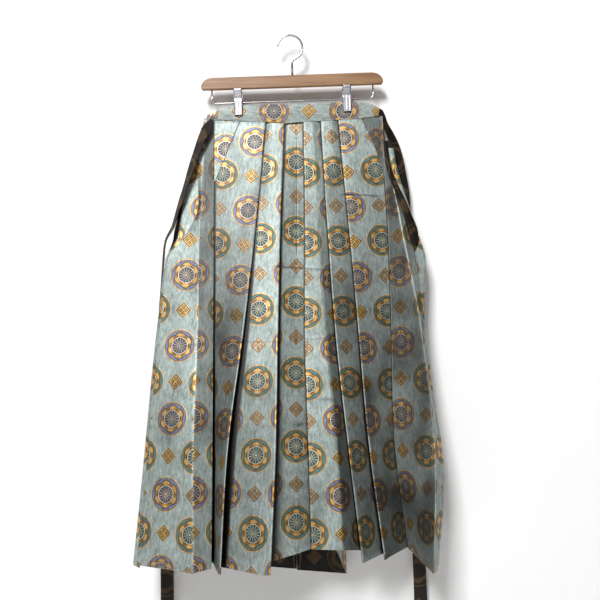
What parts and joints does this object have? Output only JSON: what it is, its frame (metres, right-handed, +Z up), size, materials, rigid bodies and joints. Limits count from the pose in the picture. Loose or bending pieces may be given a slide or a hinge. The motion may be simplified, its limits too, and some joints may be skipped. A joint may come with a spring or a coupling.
{
  "type": "hakama trousers on a clip hanger",
  "caption": "Pleated wide-legged brocade hakama trousers with long ties and a stiffened back board, hung by the waistband from the clips of a wooden hanger.",
  "frame": {"origin": "inside the top of the hanger's hook, where a nail or rod holds it", "axes": "+Z up along the garment, -Y to the garment's front, -X to the wearer's right"},
  "size_m": [0.5753, 0.2283, 1.1766],
  "materials": {
    "brocade": "pale grey-green satin brocade with gold, teal and blue wheel and diamond figures",
    "tie_cloth": "the brocade's dark brown reverse with dull gold floats",
    "hanger_wood": "lacquered light brown wood with a fine straight grain",
    "hanger_wire": "bright plated wire",
    "clip_metal": "bright plated spring steel",
    "clip_pad": "matt dark rubber"
  },
  "bodies": {
    "root": {"front_right_leg": "brocade", "front_left_leg": "brocade", "back_right_leg": "brocade", "back_left_leg": "brocade", "gusset_right": "brocade", "gusset_left": "brocade", "front_waistband": "brocade", "back_board": "brocade", "front_tie_right": "tie_cloth", "front_tie_left": "tie_cloth", "back_tie_right": "tie_cloth", "back_tie_left": "tie_cloth", "hanger_bar": "hanger_wood", "hanger_hook": "hanger_wire", "hanger_rail": "hanger_wire", "clip_right_front_plate": "clip_metal", "clip_right_front_pad": "clip_pad", "clip_right_back_plate": "clip_metal", "clip_right_back_pad": "clip_pad", "clip_right_spring": "clip_metal", "clip_left_front_plate": "clip_metal", "clip_left_front_pad": "clip_pad", "clip_left_back_plate": "clip_metal", "clip_left_back_pad": "clip_pad", "clip_left_spring": "clip_metal"}
  },
  "joints": []
}
